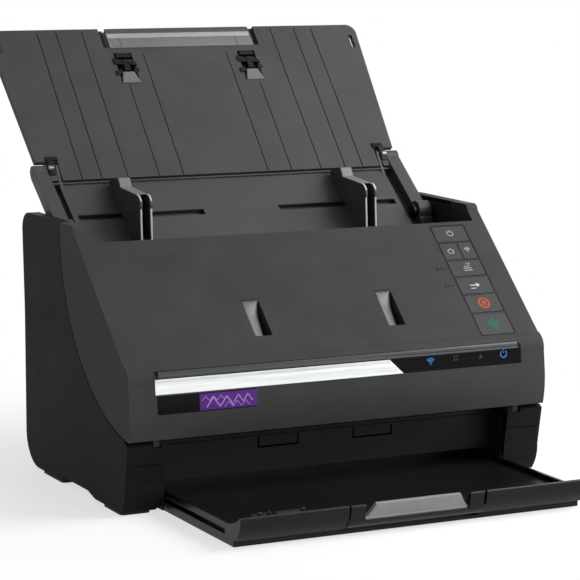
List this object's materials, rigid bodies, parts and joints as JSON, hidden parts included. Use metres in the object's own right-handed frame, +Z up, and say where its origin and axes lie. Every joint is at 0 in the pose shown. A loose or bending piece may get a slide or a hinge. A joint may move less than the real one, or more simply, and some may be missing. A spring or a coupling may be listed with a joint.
{
  "type": "sheet-fed document scanner",
  "caption": "Upright desktop sheet-fed scanner: folding input tray with sliding edge guides, hinged front cover with a key strip, pull-out output tray with a stopper.",
  "frame": {"origin": "middle of the whole footprint at rest, trays out, on the surface it stands on", "axes": "+X to the right as one faces the front cover, +Y towards the back, +Z up; the front faces -Y"},
  "size_m": [0.296, 0.3574, 0.2839],
  "materials": {
    "shell_side": "fine textured charcoal",
    "shell_rear": "fine textured charcoal",
    "shell_cover": "fine textured charcoal",
    "tray_plastic": "fine textured charcoal",
    "output_plastic": "fine textured charcoal",
    "inner_plastic": "matte black",
    "guide_plastic": "dark grey, finely textured",
    "handle_plastic": "light grey",
    "stopper_plastic": "mid grey",
    "chassis": "matte black",
    "feet": "matte",
    "roller_rubber": "matte",
    "steel": "turned",
    "gear_plastic": "natural",
    "bush": "turned",
    "motor_can": "satin",
    "sensor": "matte black",
    "scan_glass": "clear",
    "board": "green lacquer",
    "socket": "black",
    "strip_frame": "gloss black",
    "window": "gloss black",
    "silver_trim": "silver satin",
    "badge": "printed, gloss",
    "key_power": "satin black",
    "key_quick_send": "satin black",
    "key_wireless": "satin black",
    "key_feed_check": "satin black",
    "key_feeder_mode": "satin black",
    "key_stop": "satin black",
    "key_start": "satin black"
  },
  "bodies": {
    "housing": {"base_frame": "chassis", "bottom_cover": "inner_plastic", "left_side_cover": "shell_side", "right_side_cover": "shell_side", "rear_cover": "shell_rear", "rubber_feet": "feet", "lower_paper_guide": "inner_plastic", "feeder_well": "inner_plastic", "lower_scan_glass": "scan_glass", "lower_sensor_unit": "sensor", "main_board": "board", "power_inlet": "socket", "usb_port": "socket", "drive_motor": "motor_can", "shaft_bushes": "bush", "chassis_screws": "steel", "cover_hinge_pins": "steel", "tray_hinge_pins": "steel"},
    "motor_pinion": {"motor_pinion": "gear_plastic"},
    "idler": {"idler_gear": "gear_plastic"},
    "feed_roller_set": {"feed_shaft": "steel", "feed_rollers": "roller_rubber", "feed_gear": "gear_plastic"},
    "exit_roller_set": {"exit_shaft": "steel", "exit_rollers": "roller_rubber", "exit_gear": "gear_plastic"},
    "pickup_roller_set": {"pickup_shaft": "steel", "pickup_roller": "roller_rubber"},
    "cover": {"cover_shell": "shell_cover", "cover_inner_guide": "inner_plastic", "upper_scan_glass": "scan_glass", "upper_sensor_unit": "sensor", "control_board": "board", "control_strip": "strip_frame", "indicator_window": "window", "trim_strip": "silver_trim", "badge_plate": "badge"},
    "separation_roller": {"separation_roller": "roller_rubber"},
    "feed_pinch": {"feed_pinch_rollers": "roller_rubber"},
    "exit_pinch": {"exit_pinch_rollers": "roller_rubber"},
    "release_lever": {"release_lever": "inner_plastic"},
    "input_tray": {"tray_base": "tray_plastic", "panel_pins": "steel"},
    "upper_panel": {"tray_panel": "tray_plastic"},
    "extension": {"tray_extension": "tray_plastic", "extension_handle": "handle_plastic"},
    "guide_right": {"edge_guide_right": "guide_plastic"},
    "guide_left": {"edge_guide_left": "guide_plastic"},
    "guide_pinion": {"guide_pinion": "gear_plastic"},
    "output_tray": {"output_tray": "output_plastic"},
    "output_leaf": {"output_extension": "output_plastic"},
    "stopper": {"stopper_flap": "stopper_plastic"},
    "key_power": {"button_power": "key_power"},
    "key_quick_send": {"button_quick_send": "key_quick_send"},
    "key_wireless": {"button_wireless": "key_wireless"},
    "key_feed_check": {"button_feed_check": "key_feed_check"},
    "key_feeder_mode": {"button_feeder_mode": "key_feeder_mode"},
    "key_stop": {"button_stop": "key_stop"},
    "key_start": {"button_start": "key_start"}
  },
  "joints": [
    {"name": "feed_roller_spin", "type": "hinge", "parent": "housing", "child": "feed_roller_set", "pos_m": [0, 0.00463, 0.08973], "axis": [1, 0, 0], "continuous": true},
    {"name": "exit_roller_spin", "type": "hinge", "parent": "housing", "child": "exit_roller_set", "pos_m": [0, -0.02622, 0.05296], "axis": [1, 0, 0], "continuous": true},
    {"name": "idler_spin", "type": "hinge", "parent": "housing", "child": "idler", "pos_m": [0, -0.00313, 0.06492], "axis": [1, 0, 0], "continuous": true},
    {"name": "motor_spin", "type": "hinge", "parent": "housing", "child": "motor_pinion", "pos_m": [0, 0.00787, 0.04586], "axis": [1, 0, 0], "continuous": true},
    {"name": "pickup_roller_spin", "type": "hinge", "parent": "housing", "child": "pickup_roller_set", "pos_m": [0, 0.03149, 0.11941], "axis": [1, 0, 0], "continuous": true},
    {"name": "cover_open", "type": "hinge", "parent": "housing", "child": "cover", "pos_m": [0, -0.07664, 0.0445], "axis": [-1, 0, 0], "range_deg": [-38, 0]},
    {"name": "separation_roller_spin", "type": "hinge", "parent": "cover", "child": "separation_roller", "pos_m": [0, 0.01587, 0.13252], "axis": [1, 0, 0], "continuous": true},
    {"name": "feed_pinch_spin", "type": "hinge", "parent": "cover", "child": "feed_pinch", "pos_m": [0, -0.00793, 0.10027], "axis": [1, 0, 0], "continuous": true},
    {"name": "exit_pinch_spin", "type": "hinge", "parent": "cover", "child": "exit_pinch", "pos_m": [0, -0.03878, 0.0635], "axis": [1, 0, 0], "continuous": true},
    {"name": "release_lever_pull", "type": "hinge", "parent": "cover", "child": "release_lever", "pos_m": [0, 0.01036, 0.134], "axis": [1, 0, 0], "range_deg": [0, 12], "stiffness_Nm_per_rad": 0.02},
    {"name": "press_power", "type": "slide", "parent": "cover", "child": "key_power", "axis": [0, 0.673, -0.7396], "range_m": [0, 0.0008], "stiffness_N_per_m": 300},
    {"name": "press_quick_send", "type": "slide", "parent": "cover", "child": "key_quick_send", "axis": [0, 0.673, -0.7396], "range_m": [0, 0.0008], "stiffness_N_per_m": 300},
    {"name": "press_wireless", "type": "slide", "parent": "cover", "child": "key_wireless", "axis": [0, 0.673, -0.7396], "range_m": [0, 0.0008], "stiffness_N_per_m": 300},
    {"name": "press_feed_check", "type": "slide", "parent": "cover", "child": "key_feed_check", "axis": [0, 0.673, -0.7396], "range_m": [0, 0.0008], "stiffness_N_per_m": 300},
    {"name": "press_feeder_mode", "type": "slide", "parent": "cover", "child": "key_feeder_mode", "axis": [0, 0.673, -0.7396], "range_m": [0, 0.0008], "stiffness_N_per_m": 300},
    {"name": "press_stop", "type": "slide", "parent": "cover", "child": "key_stop", "axis": [0, 0.673, -0.7396], "range_m": [0, 0.0008], "stiffness_N_per_m": 300},
    {"name": "press_start", "type": "slide", "parent": "cover", "child": "key_start", "axis": [0, 0.673, -0.7396], "range_m": [0, 0.0008], "stiffness_N_per_m": 300},
    {"name": "tray_fold", "type": "hinge", "parent": "housing", "child": "input_tray", "pos_m": [0, 0.05536, 0.1605], "axis": [1, 0, 0], "range_deg": [0, 136]},
    {"name": "panel_fold", "type": "hinge", "parent": "input_tray", "child": "upper_panel", "pos_m": [0, 0.10028, 0.19559], "axis": [1, 0, 0], "range_deg": [0, 37.7]},
    {"name": "extension_slide", "type": "slide", "parent": "upper_panel", "child": "extension", "axis": [0, 0.6613, 0.7501], "range_m": [0, 0.06]},
    {"name": "guide_right_slide", "type": "slide", "parent": "input_tray", "child": "guide_right", "axis": [1, 0, 0], "range_m": [-0.047, 0.03]},
    {"name": "guide_left_slide", "type": "slide", "parent": "input_tray", "child": "guide_left", "axis": [1, 0, 0], "range_m": [-0.03, 0.047]},
    {"name": "guide_pinion_spin", "type": "hinge", "parent": "input_tray", "child": "guide_pinion", "pos_m": [0, 0.06521, 0.1682], "axis": [0, -0.6157, 0.788], "continuous": true},
    {"name": "output_tray_slide", "type": "slide", "parent": "housing", "child": "output_tray", "axis": [0, 1, 0], "range_m": [0, 0.093]},
    {"name": "output_leaf_slide", "type": "slide", "parent": "output_tray", "child": "output_leaf", "axis": [0, -1, 0], "range_m": [0, 0.09]},
    {"name": "stopper_fold", "type": "hinge", "parent": "output_leaf", "child": "stopper", "pos_m": [0, -0.17424, 0.0106], "axis": [1, 0, 0], "range_deg": [0, 60]}
  ],
  "couplings": [
    {"joint": "exit_roller_spin", "follows": "feed_roller_spin", "ratio": 1},
    {"joint": "idler_spin", "follows": "feed_roller_spin", "ratio": -0.625},
    {"joint": "motor_spin", "follows": "feed_roller_spin", "ratio": 1.6667},
    {"joint": "guide_left_slide", "follows": "guide_right_slide", "ratio": -1},
    {"joint": "guide_pinion_spin", "follows": "guide_right_slide", "rad_per_m": 166.67}
  ]
}
